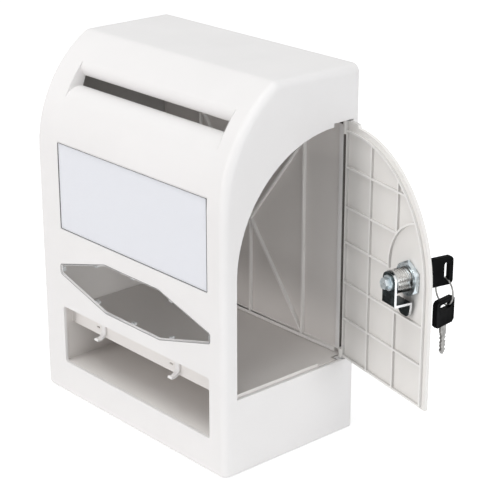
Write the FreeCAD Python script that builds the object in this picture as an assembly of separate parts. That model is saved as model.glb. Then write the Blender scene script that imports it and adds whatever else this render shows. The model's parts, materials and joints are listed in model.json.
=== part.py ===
import FreeCAD, Part
import math
import os

# Ballot box with a side door and a cam lock, in millimetres.
# Up is +Z, the front faces -Y and the door side faces +X. The origin is the middle of the base.
# Everything on the door is drawn with the door shut, and is turned open just before it is saved.

# Case moulding
case_width = 244.0
case_depth = 140.0
case_height = 315.0
wall = 3.0
front_curve_radius = 112.0
front_rise_share = 0.857
crease_radius = 10.0
side_edge_radius = 7.0
base_edge_radius = 4.0
front_shift = 6.0
overrun = 5.0

# Letter slot, set by angles around the middle of the front curve
slot_side_margin = 25.0
slot_lower_deg = 24.8
slot_upper_deg = 43.0
lower_lip_radius = 16.0
lower_lip_turn_deg = 82.0
upper_lip_radius = 8.0
upper_lip_turn_deg = 108.0

# Label on the front
label_side_margin = 25.5
label_height_share = 0.5625
label_middle_share = 0.810
label_recess = 1.15
label_gap = 0.5
card_thickness = 0.3
cover_thickness = 0.8

# Window in the front
window_side_margin = 22.5
window_height_share = 0.3257
window_middle_share = 0.2534
window_slant_run = 63.5
window_tip_share = 0.2
window_corner_radius = 3.0
window_rim = 1.8
window_land = 1.8
pane_thickness = 0.8
pane_gap = 0.15
snap_offset = 50.0
snap_width = 4.0
snap_thickness = 1.2
snap_hook = 0.75
snap_nose = 1.9

# Tray and ballot floor, one moulding
tray_opening_side_margin = 24.5
tray_opening_bottom = 30.5
tray_opening_top = 83.0
tray_opening_radius = 2.0
insert_gap = 0.4
insert_thickness = 2.5
floor_top = 67.0
apron_setback = 11.5
apron_rise = 3.5
tray_side_margin = 21.0
tray_back_margin = 10.0
sill_rib_setback = 3.0
sill_rib_width = 2.0
sill_rib_height = 2.2
sill_rib_front_margin = 2.5
sill_rib_hinge_margin = 27.0
floor_notch_width = 9.5
floor_notch_run = 7.0

# Screws that hold the tray from below
tray_screw_side_margin = 21.0
tray_screw_front_margin = 25.0
tray_screw_back_margin = 30.0
tray_boss_radius = 4.0
case_post_radius = 5.0
post_split_z = 14.0
screw_sink = 9.0
screw_radius = 1.5
screw_clearance = 0.05
screw_head_radius = 3.2
screw_head_height = 2.4
screw_sink_clearance = 0.3
screw_reach = 7.0
screw_drive_width = 1.0
screw_drive_length = 4.0
screw_drive_depth = 1.2
flat_head_radius = 3.1
flat_head_depth = 1.6
flat_head_clearance = 0.1

# Pen clips under the apron
clip_middle_x = 2.5
clip_spread_x = 99.5
clip_width = 5.0
clip_radius = 7.5
clip_thickness = 2.0
clip_axis_drop = 11.5
clip_sweep_deg = 112.0
clip_stem_rise = 8.0
clip_tab_rise = 3.0
clip_tab_height = 2.6
clip_tab_gap = 0.1
clip_tab_reach = 1.4
clip_barb = 0.9
relief_shift = 10.0
relief_width = 4.0
relief_height = 1.3
relief_rise = -1.0

# Back panel
panel_thickness = 2.5
panel_inset = 0.5
panel_gap = 0.35
panel_rib_height = 3.0
panel_rib_width = 2.0
panel_rib_spread = 66.0
panel_rib_drop = 17.0
panel_cross_rise = 4.0
panel_cross_drop = 72.0
panel_rail_height = 3.2
panel_rail_depth = 3.6
panel_screw_margin = 11.0
panel_boss_radius = 4.5
panel_boss_length = 20.0
panel_boss_web = 2.0
wall_hole_spread = 120.0
wall_hole_drop = 53.0
wall_hole_radius = 2.5

# Door opening, leaf and hinge
door_front_margin = 13.5
door_sill_drop = 0.5
door_top_drop = 46.5
door_curve_share = 0.8484
door_gap = 0.8
leaf_thickness = 3.0
hinge_setback = 9.0
hinge_inset = 3.5
barrel_radius = 2.8
barrel_length = 8.0
leaf_tail = 1.5
jamb_gap = 0.4
hinge_notch_run = 17.0
hinge_notch_rise = 3.0
hinge_boss_depth = 10.5
hinge_boss_size = 9.0
hinge_boss_inset = 8.5
jamb_web_thickness = 1.9
jamb_post_width = 7.5
jamb_post_depth = 4.4
jamb_post_gap = 0.5
jamb_post_radius = 2.5
jamb_post_rise = 5.0
jamb_post_drop = 49.0
pin_radius = 1.75
pin_clearance = 0.06
pin_reach_boss = 8.0
pin_reach_leaf = 6.5
pin_end_room = 0.5
door_open_deg = 78.0

# Ribs on the inside of the leaf, placed by shares of its width from the hinge and of its height
leaf_rib_height = 2.2
leaf_rib_width = 1.6
rim_inset = 4.2
rim_bottom_inset = 2.0
rim_hinge_offset = 2.0
leaf_upright_shares = (0.322, 0.636)
leaf_rail_shares = (0.181, 0.340, 0.5125, 0.662, 0.827)
leaf_ring_shift = 17.0
leaf_ring_rise = 4.0
leaf_ring_radius = 44.0
rib_nut_gap = 1.0

# Cam lock, measured from the inner face of the leaf
lock_edge_margin = 25.7
lock_height_share = 0.5075
lock_flange_radius = 12.0
lock_flange_thickness = 3.0
lock_flange_round = 1.0
lock_body_radius = 9.5
lock_body_flat = 8.4
lock_body_length = 15.5
lock_hole_gap = 0.2
lock_bore_clearance = 0.06
plug_radius = 6.0
plug_head_radius = 7.0
plug_head_thickness = 1.4
plug_head_room = 0.1
plug_square = 7.0
tooth_washer_radius = 12.8
tooth_washer_thickness = 0.8
tooth_count = 16
tooth_depth = 1.0
tooth_gap_share = 0.25
tooth_root_share = 0.125
thread_clearance = 0.1
nut_flats = 26.0
nut_thickness = 3.5
nut_chamfer = 0.6
nut_turn_deg = 30.0
stop_thickness = 1.4
stop_radius = 6.3
stop_tab_radius = 8.6
stop_tab_deg = 30.0
stop_rest_deg = 270.0
stop_lug_inner_radius = 6.6
lock_turn_deg = 90.0
stop_spare_deg = 2.0
stack_gap = 0.1
cam_thickness = 2.0
cam_width = 16.5
cam_top = 8.0
cam_drop = 18.5
cam_foot_end = 29.5
cam_foot_tip_width = 12.4
cam_foot_face = 2.6
cam_foot_round = 5.0
cam_corner_radius = 6.0
cam_bend_radius = 1.5
cam_square_gap = 0.05
cam_washer_radius = 6.2
cam_washer_thickness = 1.2
cam_bolt_radius = 2.0
cam_bolt_clearance = 0.05
cam_bolt_flats = 8.0
cam_bolt_head = 4.2
cam_bolt_reach = 9.0

# Wafers inside the plug
wafer_count = 5
wafer_first = 1.5
wafer_pitch = 2.0
wafer_thickness = 1.0
wafer_width = 4.6
wafer_height = 11.0
wafer_gap = 0.1
spring_offset = 3.7
spring_radius = 0.6
spring_wire = 0.25
spring_length = 3.0
spring_gap = 0.1

# Keys
blade_width = 7.0
blade_thickness = 2.0
keyway_gap = 0.15
blade_depth = 13.6
keyway_room = 1.0
blade_reach = 11.0
blade_tang = 8.0
blade_tip = 3.2
blade_tip_width = 1.2
blade_step_run = 6.0
blade_step = 0.9
bit_shares = (0.09, 0.24, 0.40, 0.56)
near_bit_depths = (1.5, 0.8, 1.7, 0.9)
far_bit_depths = (1.0, 0.5, 1.1, 0.6)
bit_half_width = 1.4
bit_floor_half_width = 0.5
head_length = 22.5
head_width = 23.5
head_thickness = 4.5
head_round = 4.0
head_chamfer = 2.5
head_edge_round = 0.6
head_slot_setback = 6.2
head_slot_width = 5.0
head_slot_length = 15.0
tang_gap = 0.02
ring_radius = 11.0
ring_wire = 1.0
ring_gap = 0.3
spare_yaw_deg = 18.0

# Values worked out from the ones above
V = FreeCAD.Vector
half_width = case_width / 2
front_y = -case_depth / 2
back_y = case_depth / 2
case_top = case_height
curve_start = case_height - front_curve_radius * front_rise_share
curve_centre = V(0, front_y + front_curve_radius, curve_start)
slot_length = case_width - 2 * slot_side_margin
front_free_height = curve_start - tray_opening_top
label_width = case_width - 2 * label_side_margin
label_height = front_free_height * label_height_share
label_middle_z = tray_opening_top + front_free_height * label_middle_share
window_length = case_width - 2 * window_side_margin
window_flat_length = window_length - 2 * window_slant_run
window_height = front_free_height * window_height_share
window_tip_height = window_height * window_tip_share
window_middle_z = tray_opening_top + front_free_height * window_middle_share
tray_opening_width = case_width - 2 * tray_opening_side_margin
tray_width = case_width - 2 * tray_side_margin
slot_left = front_shift - slot_length / 2
slot_right = front_shift + slot_length / 2
floor_bottom = floor_top - insert_thickness
apron_y = front_y + apron_setback
apron_top = tray_opening_top + apron_rise
tray_back_y = back_y - tray_back_margin
tray_left = front_shift - tray_width / 2
tray_right = front_shift + tray_width / 2
tray_floor_top = tray_opening_bottom
tray_floor_bottom = tray_floor_top - insert_thickness
panel_back = back_y - panel_inset
panel_front = panel_back - panel_thickness
inner_x = half_width - wall
hinge_x = half_width - hinge_inset
hinge_y = back_y - hinge_setback
opening_front_y = front_y + door_front_margin
opening_back_y = hinge_y + hinge_inset + jamb_gap
opening_top = case_height - door_top_drop
door_bottom = floor_top - door_sill_drop
door_curve_radius = (opening_back_y - opening_front_y) * door_curve_share
door_curve_start = opening_top - door_curve_radius
door_curve_y = opening_front_y + door_curve_radius
leaf_inner = half_width - leaf_thickness
leaf_bottom = door_bottom + door_gap
leaf_top = opening_top - door_gap
leaf_free_y = opening_front_y + door_gap
leaf_width = hinge_y - leaf_free_y
leaf_height = leaf_top - leaf_bottom
lock_y = leaf_free_y + lock_edge_margin
lock_z = leaf_bottom + leaf_height * lock_height_share
clip_axis_z = tray_opening_top - clip_axis_drop
body_end = leaf_inner - lock_body_length
stop_face = body_end - stack_gap
stop_back = stop_face - stop_thickness
cam_face = stop_back - stack_gap
cam_back = cam_face - cam_thickness
bolt_seat = cam_back - cam_washer_thickness
flange_face = half_width + lock_flange_thickness
plug_head_back = flange_face - plug_head_room - plug_head_thickness
plug_end = cam_back + stack_gap
blade_end = flange_face - blade_depth
head_start = flange_face + blade_reach
head_end = head_start + head_length
head_slot_x = head_end - head_slot_setback
ring_top_z = lock_z - head_slot_length / 2 + ring_gap + ring_wire
ring_middle_z = ring_top_z - ring_radius
ring_bottom_z = ring_middle_z - ring_radius
spare_slot_z = ring_bottom_z + ring_wire + ring_gap - head_slot_width / 2


# Small helpers

def box(x0, x1, y0, y1, z0, z1):
    return Part.makeBox(x1 - x0, y1 - y0, z1 - z0, V(x0, y0, z0))


def rod(radius, start, end):
    along = end - start
    return Part.makeCylinder(radius, along.Length, start, along)


def rod_x(radius, x0, x1, y, z):
    return rod(radius, V(x0, y, z), V(x1, y, z))


def line(a, b):
    return Part.LineSegment(a, b).toShape()


def polar(centre, radius, degrees):
    angle = math.radians(degrees)
    return centre + V(0, radius * math.cos(angle), radius * math.sin(angle))


def arc(centre, radius, start_deg, end_deg):
    middle_deg = (start_deg + end_deg) / 2
    points = [polar(centre, radius, d) for d in (start_deg, middle_deg, end_deg)]
    return Part.Arc(*points).toShape()


def sweep(edges, along):
    ordered = Part.__sortEdges__(edges)
    return Part.Face(Part.Wire(ordered)).extrude(along)


def sweep_x(edges, x0, x1):
    shape = sweep(edges, V(x1 - x0, 0, 0))
    shape.translate(V(x0, 0, 0))
    return shape


def loop(points):
    return [line(a, b) for a, b in zip(points, points[1:] + points[:1])]


def hexagon_x(flats, x0, x1, y, z, turn_deg):
    centre = V(x0, y, z)
    corner_radius = flats / math.sqrt(3)
    corners = [polar(centre, corner_radius, turn_deg + 60 * i) for i in range(6)]
    return sweep(loop(corners), V(x1 - x0, 0, 0))


def join(shape, others):
    return shape.multiFuse(others).removeSplitter()


def cut(shape, others):
    for other in others:
        shape = shape.cut(other)
    return shape


def save(shape, name):
    if shape.ShapeType == "Compound" and len(shape.Solids) == 1:
        shape = shape.Solids[0]
    shape.exportStep("parts/" + name + ".step")


def save_group(shapes, name):
    Part.makeCompound(shapes).exportStep("parts/" + name + ".step")


def swing_open(shape):
    turned = shape.copy()
    turned.rotate(V(hinge_x, hinge_y, 0), V(0, 0, 1), door_open_deg)
    return turned


# Case

def case_section(inset, back):
    """Side outline of the case, drawn in by an inset."""
    radius = front_curve_radius - inset
    crease = crease_radius - inset
    top = case_top - inset
    rise = top - crease - curve_start
    reach = math.sqrt((radius - crease) ** 2 - rise ** 2)
    crease_centre = V(0, curve_centre.y - reach, top - crease)
    meet_deg = math.degrees(math.atan2(rise, -reach))
    front = front_y + inset
    return [
        line(V(0, front, inset), V(0, front, curve_start)),
        arc(curve_centre, radius, 180, meet_deg),
        arc(crease_centre, crease, meet_deg, 90),
        line(V(0, crease_centre.y, top), V(0, back, top)),
        line(V(0, back, top), V(0, back, inset)),
        line(V(0, back, inset), V(0, front, inset)),
    ]


def lies_at(edge, axis, value):
    near = 1e-6
    return all(abs(getattr(v.Point, axis) - value) < near for v in edge.Vertexes)


def case_block(inset, back, edge_radius):
    """Solid with the outline of the case, its side edges rounded."""
    side = half_width - inset
    block = sweep_x(case_section(inset, back), -side, side)
    edges = []
    for edge in block.Edges:
        on_side = lies_at(edge, "x", side) or lies_at(edge, "x", -side)
        if on_side and not lies_at(edge, "y", back) and not lies_at(edge, "z", inset):
            edges.append(edge)
    return block.makeFillet(edge_radius, edges)


def slot_curves():
    lower_start = 180 - slot_lower_deg
    upper_start = 180 - slot_upper_deg
    lower_centre = polar(curve_centre, front_curve_radius - lower_lip_radius, lower_start)
    upper_centre = polar(curve_centre, front_curve_radius - upper_lip_radius, upper_start)
    lower = (lower_centre, lower_lip_radius, lower_start, lower_start - lower_lip_turn_deg)
    upper = (upper_centre, upper_lip_radius, upper_start, upper_start + upper_lip_turn_deg)
    return lower, upper


def slot_lip(curve):
    centre, radius, start_deg, end_deg = curve
    inner = radius - wall
    return [
        arc(centre, radius, start_deg, end_deg),
        line(polar(centre, radius, end_deg), polar(centre, inner, end_deg)),
        arc(centre, inner, end_deg, start_deg),
        line(polar(centre, inner, start_deg), polar(centre, radius, start_deg)),
    ]


def slot_mouth(closing):
    lower, upper = slot_curves()
    return [
        arc(*lower),
        line(polar(lower[0], lower[1], lower[3]), polar(upper[0], upper[1], upper[3])),
        arc(*upper),
    ] + closing


def cut_letter_slot(shell):
    """Opens the slot and adds its two rolled lips and its end plates."""
    lower, upper = slot_curves()
    low = polar(curve_centre, front_curve_radius, lower[2])
    high = polar(curve_centre, front_curve_radius, upper[2])
    low_out = polar(curve_centre, front_curve_radius + overrun, lower[2])
    high_out = polar(curve_centre, front_curve_radius + overrun, upper[2])
    mouth = slot_mouth([line(high, high_out), line(high_out, low_out), line(low_out, low)])
    plate = slot_mouth([arc(curve_centre, front_curve_radius, upper[2], lower[2])])
    left_out = slot_left - wall
    right_out = slot_right + wall
    shell = shell.cut(sweep_x(mouth, slot_left, slot_right))
    return shell.multiFuse([
        sweep_x(slot_lip(lower), left_out, right_out),
        sweep_x(slot_lip(upper), left_out, right_out),
        sweep_x(plate, left_out, slot_left),
        sweep_x(plate, slot_right, right_out),
    ])


def window_outline(y, inset):
    """Eight-cornered outline of the window with rounded corners, drawn in by an inset."""
    half_length = window_length / 2
    half_flat = window_flat_length / 2
    half_height = window_height / 2
    half_tip = window_tip_height / 2
    corners = [(half_length, half_tip), (half_flat, half_height)]
    corners += [(-x, z) for x, z in reversed(corners)]
    corners += [(-x, -z) for x, z in corners]
    points = [V(front_shift + x, y, window_middle_z + z) for x, z in corners]
    sharp = Part.Face(Part.Wire(loop(points))).makeOffset2D(-window_corner_radius, join=2)
    return sharp.makeOffset2D(window_corner_radius - inset).Wires[0]


def window_prism(y0, y1, inset):
    return Part.Face(window_outline(y0, inset)).extrude(V(0, y1 - y0, 0))


def door_opening():
    front = opening_front_y
    centre = V(0, door_curve_y, door_curve_start)
    notch_top = opening_top + hinge_notch_rise
    opening = [
        line(V(0, front, door_bottom), V(0, front, door_curve_start)),
        arc(centre, door_curve_radius, 180, 90),
        line(V(0, door_curve_y, opening_top), V(0, opening_back_y, opening_top)),
        line(V(0, opening_back_y, opening_top), V(0, opening_back_y, door_bottom)),
        line(V(0, opening_back_y, door_bottom), V(0, front, door_bottom)),
    ]
    x0 = inner_x - overrun
    x1 = half_width + overrun
    notch_front = hinge_y - hinge_notch_run
    notch = box(x0, x1, notch_front, opening_back_y, opening_top - overrun, notch_top)
    return sweep_x(opening, x0, x1).fuse(notch)


def panel_screw_spots():
    side = half_width - panel_screw_margin
    low = panel_screw_margin
    high = case_top - panel_screw_margin
    return [(x, z) for z in (low, high) for x in (-side, 0, side)]


def panel_bosses():
    """Screw posts behind the back panel, each tied to the wall beside it."""
    shapes = []
    start = panel_front - panel_boss_length
    half_web = panel_boss_web / 2
    for x, z in panel_screw_spots():
        shapes.append(rod(panel_boss_radius, V(x, start, z), V(x, panel_front, z)))
        z0, z1 = (wall / 2, z) if z < case_top / 2 else (z, case_top - wall / 2)
        shapes.append(box(x - half_web, x + half_web, start, panel_front, z0, z1))
        if x:
            side = math.copysign(half_width - wall / 2, x)
            x0, x1 = sorted((x, side))
            shapes.append(box(x0, x1, start, panel_front, z - half_web, z + half_web))
    return shapes


def tray_screw_spots():
    half_spread = tray_width / 2 - tray_screw_side_margin
    rows = (front_y + tray_screw_front_margin, back_y - tray_screw_back_margin)
    return [(front_shift + s * half_spread, y) for s in (-1, 1) for y in rows]


def hinge_mount():
    """Post, web and two bosses that carry the hinge at the back of the door opening."""
    web_back = opening_back_y + jamb_web_thickness
    post_right = hinge_x - barrel_radius - jamb_post_gap
    post_left = post_right - jamb_post_width
    post_bottom = floor_top + jamb_post_rise
    post_top = case_top - jamb_post_drop
    in_wall = half_width - wall / 2
    post = box(post_left, post_right, web_back - jamb_post_depth, web_back, post_bottom, post_top)
    fronts = [e for e in post.Edges if lies_at(e, "y", web_back - jamb_post_depth)
              and (lies_at(e, "x", post_left) or lies_at(e, "x", post_right))]
    post = post.makeFillet(jamb_post_radius, fronts)
    web = box(post_left, in_wall, opening_back_y, web_back, post_bottom, post_top)
    boss_left = half_width - hinge_boss_inset
    boss_front = hinge_y - hinge_boss_size / 2
    boss_back = hinge_y + hinge_boss_size / 2
    notch_top = opening_top + hinge_notch_rise
    upper = box(boss_left, in_wall, boss_front, boss_back, notch_top, notch_top + hinge_boss_depth)
    lower = box(boss_left, in_wall, boss_front, boss_back, door_bottom - hinge_boss_depth, door_bottom)
    return [post, web, upper, lower]


def pin_holes():
    radius = pin_radius + pin_clearance
    notch_top = opening_top + hinge_notch_rise
    reach = pin_reach_boss + pin_end_room
    spans = [(notch_top - pin_end_room, notch_top + reach), (door_bottom - reach, door_bottom + pin_end_room)]
    return [rod(radius, V(hinge_x, hinge_y, low), V(hinge_x, hinge_y, high)) for low, high in spans]


def make_case_shell():
    block = case_block(0, back_y, side_edge_radius)
    base = [e for e in block.Edges if lies_at(e, "z", 0) and not lies_at(e, "y", back_y)]
    block = block.makeFillet(base_edge_radius, base)
    shell = block.cut(case_block(wall, back_y + overrun, side_edge_radius - wall))
    shell = cut_letter_slot(shell)

    outside = front_y - overrun
    inside = front_y + wall + overrun
    half_label = label_width / 2
    half_card = label_height / 2
    label = box(front_shift - half_label, front_shift + half_label, outside, front_y + label_recess,
                label_middle_z - half_card, label_middle_z + half_card)
    half_tray = tray_opening_width / 2
    tray = box(front_shift - half_tray, front_shift + half_tray, outside, inside,
               tray_opening_bottom, tray_opening_top)
    corners = [e for e in tray.Edges if e.BoundBox.YLength > wall]
    tray = tray.makeFillet(tray_opening_radius, corners)
    rebate = window_prism(outside, front_y + pane_thickness, 0)
    view = window_prism(outside, inside, window_rim)
    relief = window_prism(front_y + window_land, inside, 0)
    shell = cut(shell, [label, tray, rebate, view, relief, door_opening()])

    posts = [rod(case_post_radius, V(x, y, wall / 2), V(x, y, post_split_z)) for x, y in tray_screw_spots()]
    shell = join(shell, hinge_mount() + panel_bosses() + posts)

    holes = pin_holes()
    hole_radius = screw_radius + screw_clearance
    for x, z in panel_screw_spots():
        holes.append(rod(hole_radius, V(x, panel_front - panel_boss_length + wall, z),
                         V(x, panel_front + overrun, z)))
    sink_radius = screw_head_radius + screw_sink_clearance
    for x, y in tray_screw_spots():
        holes.append(rod(hole_radius, V(x, y, -overrun), V(x, y, post_split_z + overrun)))
        holes.append(rod(sink_radius, V(x, y, -overrun), V(x, y, screw_sink)))
    return cut(shell, holes).removeSplitter()


def make_back_panel():
    panel = case_block(wall + panel_gap, panel_back, side_edge_radius - wall)
    panel = panel.cut(box(-case_width, case_width, front_y, panel_front, 0, case_top))
    rib_front = panel_front - panel_rib_height
    half_rib = panel_rib_width / 2
    low = floor_top + insert_gap
    high = case_top - panel_rib_drop
    ribs = []
    for x in (-panel_rib_spread, 0, panel_rib_spread):
        ribs.append(box(x - half_rib, x + half_rib, rib_front, panel_front, low, high))
    corner = panel_rib_spread
    for side in (-1, 1):
        start = V(-side * corner, rib_front, floor_top + panel_cross_rise)
        end = V(side * corner, rib_front, case_top - panel_cross_drop)
        across = (end - start).cross(V(0, 1, 0)).normalize() * half_rib
        points = [start + across, end + across, end - across, start - across]
        ribs.append(sweep(loop(points), V(0, panel_rib_height, 0)))
    rail_side = hinge_x - barrel_radius - jamb_post_gap - jamb_post_width - insert_gap
    ribs.append(box(-rail_side, rail_side, panel_front - panel_rail_depth, panel_front,
                    low, low + panel_rail_height))
    panel = join(panel, ribs)
    holes = []
    through = panel_front - overrun
    for x, z in panel_screw_spots():
        holes.append(rod(screw_radius + screw_clearance, V(x, through, z), V(x, panel_back + overrun, z)))
        holes.append(Part.makeCone(flat_head_radius + flat_head_clearance, screw_radius + flat_head_clearance,
                                   flat_head_depth, V(x, panel_back, z), V(0, -1, 0)))
    wall_hole_z = case_top - wall_hole_drop
    for x in (-wall_hole_spread / 2, wall_hole_spread / 2):
        holes.append(rod(wall_hole_radius, V(x, through, wall_hole_z),
                         V(x, panel_back + overrun, wall_hole_z)))
    return cut(panel, holes)


def cross_drive(head_end, direction):
    """Two crossed slots that are cut into a screw's head."""
    side = V(1, 0, 0)
    other = direction.cross(side)
    half_long = screw_drive_length / 2
    half_thin = screw_drive_width / 2
    start = head_end - direction * overrun
    slots = []
    for a, b in ((side, other), (other, side)):
        points = [start + a * half_long + b * half_thin, start - a * half_long + b * half_thin,
                  start - a * half_long - b * half_thin, start + a * half_long - b * half_thin]
        slots.append(sweep(loop(points), direction * (overrun + screw_drive_depth)))
    return slots


def make_pan_screw(seat, direction, reach):
    """Screw with a round head, the head's underside at the seat."""
    head_end = seat - direction * screw_head_height
    shank = rod(screw_radius, seat - direction * (screw_head_height / 2), seat + direction * reach)
    head = rod(screw_head_radius, head_end, seat)
    near = screw_head_height / 2
    rim = [e for e in head.Edges if e.Closed and (e.BoundBox.Center - head_end).Length < near]
    head = head.makeFillet(screw_head_height / 2, rim)
    return cut(head.fuse(shank), cross_drive(head_end, direction))


def make_flat_screw(surface, direction, reach):
    """Screw with a sunk head, flush with the surface."""
    shank = rod(screw_radius, surface + direction * (flat_head_depth / 2), surface + direction * reach)
    head = Part.makeCone(flat_head_radius, screw_radius, flat_head_depth, surface, direction)
    return cut(head.fuse(shank), cross_drive(surface, direction))


def make_back_panel_screws():
    reach = panel_thickness + panel_boss_length - wall - screw_reach
    return [make_flat_screw(V(x, panel_back, z), V(0, -1, 0), reach) for x, z in panel_screw_spots()]


def make_tray_screws():
    reach = post_split_z - screw_sink + screw_reach
    return [make_pan_screw(V(x, y, screw_sink), V(0, 0, 1), reach) for x, y in tray_screw_spots()]


# Tray and ballot floor

def clip_spots():
    half_spread = clip_spread_x / 2
    return [clip_middle_x - half_spread, clip_middle_x + half_spread]


def make_tray_insert():
    t = insert_thickness
    side = inner_x - insert_gap
    butt = front_y + wall + insert_gap
    floor_back = panel_front - insert_gap
    left_out = tray_left - t
    right_out = tray_right + t
    body = box(-side, side, apron_y, floor_back, floor_bottom, floor_top)
    notch = box(half_width - floor_notch_width, half_width, hinge_y - floor_notch_run, back_y,
                floor_bottom - overrun, floor_top + overrun)
    body = body.cut(notch)
    pieces = [
        box(left_out, right_out, apron_y, apron_y + t, floor_bottom, apron_top),
        box(left_out, right_out, butt, apron_y + t, apron_top - t, apron_top),
        box(left_out, right_out, butt, tray_back_y, tray_floor_bottom, tray_floor_top),
        box(left_out, right_out, tray_back_y - t, tray_back_y, tray_floor_bottom, floor_top),
        box(left_out, tray_left, butt, tray_back_y, tray_floor_bottom, floor_top),
        box(tray_right, right_out, butt, tray_back_y, tray_floor_bottom, floor_top),
        box(left_out, tray_left, butt, apron_y + t, floor_bottom, apron_top),
        box(tray_right, right_out, butt, apron_y + t, floor_bottom, apron_top),
    ]
    rib_right = half_width - sill_rib_setback - insert_gap
    rib_front = opening_front_y + sill_rib_front_margin
    rib_back = hinge_y - sill_rib_hinge_margin
    pieces.append(box(rib_right - sill_rib_width, rib_right, rib_front, rib_back,
                      floor_bottom, floor_top + sill_rib_height))
    for x, y in tray_screw_spots():
        pieces.append(rod(tray_boss_radius, V(x, y, post_split_z), V(x, y, tray_floor_top)))
    body = join(body, pieces)
    holes = []
    hole_top = post_split_z + screw_reach + pin_end_room
    for x, y in tray_screw_spots():
        holes.append(rod(screw_radius + screw_clearance, V(x, y, post_split_z - overrun), V(x, y, hole_top)))
    half_tab = clip_width / 2 + clip_tab_gap
    half_relief = relief_width / 2
    tab_bottom = clip_axis_z + clip_tab_rise
    relief_bottom = clip_axis_z + relief_rise
    for x in clip_spots():
        holes.append(box(x - half_tab, x + half_tab, apron_y - overrun, apron_y + t + overrun,
                         tab_bottom - clip_tab_gap, tab_bottom + clip_tab_height + clip_tab_gap))
        relief_x = x - relief_shift
        holes.append(box(relief_x - half_relief, relief_x + half_relief, apron_y - overrun,
                         apron_y + t + overrun, relief_bottom, relief_bottom + relief_height))
    return cut(body, holes)


def make_pen_clip(x):
    """Spring hook for a pen, pushed into its slot in the apron."""
    x0 = x - clip_width / 2
    x1 = x + clip_width / 2
    centre = V(0, apron_y - clip_radius, clip_axis_z)
    inner = clip_radius - clip_thickness
    end_deg = -clip_sweep_deg
    hook = [
        arc(centre, clip_radius, 0, end_deg),
        line(polar(centre, clip_radius, end_deg), polar(centre, inner, end_deg)),
        arc(centre, inner, end_deg, 0),
        line(polar(centre, inner, 0), polar(centre, clip_radius, 0)),
    ]
    stem = box(x0, x1, apron_y - clip_thickness, apron_y, clip_axis_z, clip_axis_z + clip_stem_rise)
    behind = apron_y + insert_thickness + clip_tab_gap
    tab_bottom = clip_axis_z + clip_tab_rise
    tab_top = tab_bottom + clip_tab_height
    tab_end = behind + clip_tab_reach
    tab = [V(0, apron_y - clip_thickness / 2, tab_bottom), V(0, tab_end, tab_bottom),
           V(0, behind, tab_top + clip_barb), V(0, behind, tab_top),
           V(0, apron_y - clip_thickness / 2, tab_top)]
    return join(sweep_x(hook, x0, x1), [stem, sweep_x(loop(tab), x0, x1)])


# Label and window

def label_sheet(y0, thickness):
    half_wide = label_width / 2 - label_gap
    half_tall = label_height / 2 - label_gap
    return box(front_shift - half_wide, front_shift + half_wide, y0, y0 + thickness,
               label_middle_z - half_tall, label_middle_z + half_tall)


def make_label_card():
    return label_sheet(front_y + label_recess - card_thickness, card_thickness)


def make_label_cover():
    return label_sheet(front_y + label_recess - card_thickness - cover_thickness, cover_thickness)


def snap_spots():
    """Middle and outward direction of each snap tab, on the edge of the view hole."""
    half_length = window_length / 2
    half_flat = window_flat_length / 2
    half_height = window_height / 2
    run = half_length - half_flat
    drop = half_height - window_tip_height / 2
    slant = V(drop, 0, run).normalize()
    slant_z = half_height - drop * (snap_offset - half_flat) / run
    spots = []
    for sx in (-1, 1):
        spots.append((V(sx * (half_length - window_rim), 0, 0), V(sx, 0, 0)))
        spots.append((V(0, 0, sx * (half_height - window_rim)), V(0, 0, sx)))
        for sz in (-1, 1):
            out = V(sx * slant.x, 0, sz * slant.z)
            spots.append((V(sx * snap_offset, 0, sz * slant_z) - out * window_rim, out))
    return spots


def make_window_pane():
    pane = window_prism(front_y, front_y + pane_thickness, pane_gap)
    back = front_y + pane_thickness
    catch = front_y + window_land + pane_gap
    end = catch + snap_nose
    near = -pane_gap
    far = -pane_gap - snap_thickness
    root = back - pane_thickness / 2
    tabs = []
    for spot, out in snap_spots():
        base = V(front_shift, 0, window_middle_z) + spot
        outline = [(far, root), (near, root), (near, catch), (snap_hook, catch), (near, end), (far, end)]
        along = out.cross(V(0, 1, 0)).normalize()
        points = [base + out * n + V(0, y, 0) - along * (snap_width / 2) for n, y in outline]
        tabs.append(sweep(loop(points), along * snap_width))
    return join(pane, tabs)


# Door

def leaf_outline(inset, bottom_inset, hinge_side):
    """Outline of the leaf, drawn in by its insets; it ends at the given distance from the hinge."""
    front = leaf_free_y + inset
    radius = door_curve_radius - door_gap - inset
    centre = V(0, door_curve_y, door_curve_start)
    bottom = leaf_bottom + bottom_inset
    top = door_curve_start + radius
    back = hinge_y - hinge_side
    return [
        line(V(0, front, bottom), V(0, front, door_curve_start)),
        arc(centre, radius, 180, 90),
        line(V(0, door_curve_y, top), V(0, back, top)),
        line(V(0, back, top), V(0, back, bottom)),
        line(V(0, back, bottom), V(0, front, bottom)),
    ]


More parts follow.
